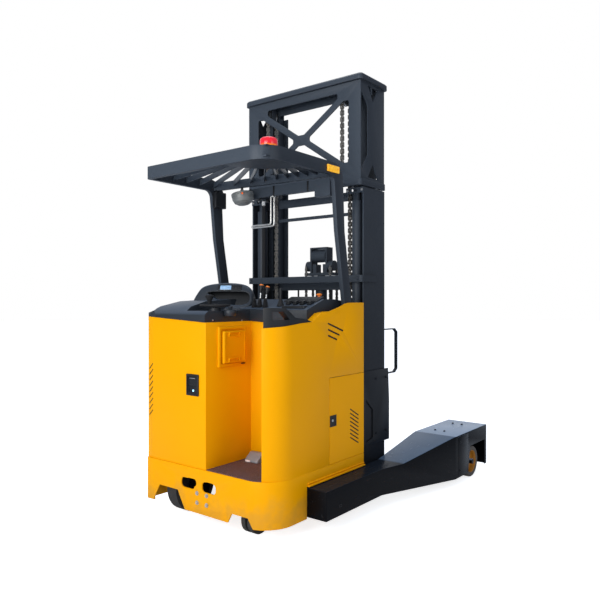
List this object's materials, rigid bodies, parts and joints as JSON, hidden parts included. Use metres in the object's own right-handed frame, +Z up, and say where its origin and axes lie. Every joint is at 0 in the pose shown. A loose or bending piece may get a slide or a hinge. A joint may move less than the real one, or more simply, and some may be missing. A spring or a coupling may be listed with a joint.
{
  "type": "reach truck",
  "caption": "Stand-on electric reach truck whose mast slides forward between two straddle legs and lifts forks, with operator compartment and overhead guard.",
  "frame": {"origin": "on the ground, midway along and across the truck", "axes": "+X towards the fork tips, +Y to the left of an operator who faces the forks, +Z up"},
  "size_m": [2.544, 1.75, 3.006],
  "materials": {
    "paint_yellow": "satin",
    "paint_charcoal": "satin",
    "paint_black": "satin",
    "paint_grey": "satin",
    "console_plastic": "matte",
    "black_plastic": "matte",
    "mat_rubber": "matte",
    "bare_steel": "brushed",
    "rod_chrome": "polished",
    "tyre_band": "matte",
    "battery_case": "satin",
    "lamp_red": "gloss",
    "chain_steel": "oiled"
  },
  "bodies": {
    "chassis": {"chassis_frame": "paint_yellow", "floor_mat": "mat_rubber", "hood_shell": "paint_yellow", "right_panel": "paint_yellow", "battery_block": "battery_case", "console_cover": "console_plastic", "dash_binnacle": "console_plastic", "control_armrest": "black_plastic", "control_levers": "black_plastic", "grab_handle": "black_plastic", "charge_port": "black_plastic", "foot_pedal": "bare_steel", "steering_column": "console_plastic", "guard_frame": "paint_charcoal", "guard_slats": "paint_charcoal", "header_beam": "paint_grey", "roof_beacon": "lamp_red", "guard_lamps": "black_plastic", "entry_handle": "bare_steel", "straddle_leg_left": "paint_black", "straddle_leg_right": "paint_black", "reach_barrel": "paint_black"},
    "steering": {"steering_wheel": "black_plastic"},
    "side_door": {"battery_door": "paint_yellow"},
    "drive_unit": {"drive_yoke": "paint_black"},
    "drive_tyre": {"drive_wheel": "tyre_band"},
    "castor": {"castor_fork": "paint_black"},
    "castor_roller": {"castor_wheels": "tyre_band"},
    "load_wheel_l": {"load_wheel_left": "tyre_band"},
    "load_wheel_r": {"load_wheel_right": "tyre_band"},
    "reach_mast": {"reach_carriage": "paint_charcoal", "mast_outer": "paint_charcoal", "mast_tie_bar": "paint_charcoal", "lift_cylinders": "paint_charcoal", "hose_guard": "paint_charcoal"},
    "middle_mast": {"mast_middle": "paint_charcoal", "mast_top_frame": "paint_charcoal", "lift_rods": "rod_chrome", "mast_chains": "chain_steel"},
    "inner_mast": {"mast_inner": "paint_charcoal"},
    "free_lift": {"free_lift_head": "paint_charcoal"},
    "carriage": {"lift_carriage": "paint_charcoal"},
    "side_shift": {"side_shift_frame": "paint_charcoal"},
    "fork_tilt": {"fork_carrier": "paint_charcoal", "forks": "paint_black"}
  },
  "joints": [
    {"name": "mast_reach", "type": "slide", "parent": "chassis", "child": "reach_mast", "axis": [1, 0, 0], "range_m": [0, 0.56]},
    {"name": "mast_lift", "type": "slide", "parent": "reach_mast", "child": "middle_mast", "axis": [0, 0, 1], "range_m": [0, 1.5]},
    {"name": "inner_lift", "type": "slide", "parent": "middle_mast", "child": "inner_mast", "axis": [0, 0, 1], "range_m": [0, 1.5]},
    {"name": "free_lift", "type": "slide", "parent": "inner_mast", "child": "carriage", "axis": [0, 0, 1], "range_m": [0, 1.4]},
    {"name": "lift_head", "type": "slide", "parent": "inner_mast", "child": "free_lift", "axis": [0, 0, 1], "range_m": [0, 0.7]},
    {"name": "side_shift", "type": "slide", "parent": "carriage", "child": "side_shift", "axis": [0, 1, 0], "range_m": [-0.07, 0.07]},
    {"name": "fork_tilt", "type": "hinge", "parent": "side_shift", "child": "fork_tilt", "pos_m": [0.126, 0, 0.48], "axis": [0, 1, 0], "range_deg": [-4, 2]},
    {"name": "drive_steer", "type": "hinge", "parent": "chassis", "child": "drive_unit", "pos_m": [-1.054, 0.345, 0], "axis": [0, 0, 1], "range_deg": [-90, 90]},
    {"name": "drive_spin", "type": "hinge", "parent": "drive_unit", "child": "drive_tyre", "pos_m": [-1.054, 0.345, 0.17], "axis": [0, 1, 0], "continuous": true},
    {"name": "castor_swivel", "type": "hinge", "parent": "chassis", "child": "castor", "pos_m": [-1.054, -0.29, 0], "axis": [0, 0, 1], "continuous": true},
    {"name": "castor_spin", "type": "hinge", "parent": "castor", "child": "castor_roller", "pos_m": [-1.1, -0.29, 0.088], "axis": [0, 1, 0], "continuous": true},
    {"name": "load_spin_l", "type": "hinge", "parent": "chassis", "child": "load_wheel_l", "pos_m": [0.871, 0.805, 0.123], "axis": [0, 1, 0], "continuous": true},
    {"name": "load_spin_r", "type": "hinge", "parent": "chassis", "child": "load_wheel_r", "pos_m": [0.871, -0.805, 0.123], "axis": [0, 1, 0], "continuous": true},
    {"name": "steering_turn", "type": "hinge", "parent": "chassis", "child": "steering", "pos_m": [-1.104, 0.062, 1.382], "axis": [0, 0, 1], "continuous": true},
    {"name": "door_swing", "type": "hinge", "parent": "chassis", "child": "side_door", "pos_m": [-0.279, -0.533, 0.364], "axis": [0, 0, 1], "range_deg": [0, 100]}
  ],
  "couplings": [
    {"joint": "inner_lift", "follows": "mast_lift", "ratio": 1},
    {"joint": "lift_head", "follows": "free_lift", "ratio": 0.5}
  ]
}
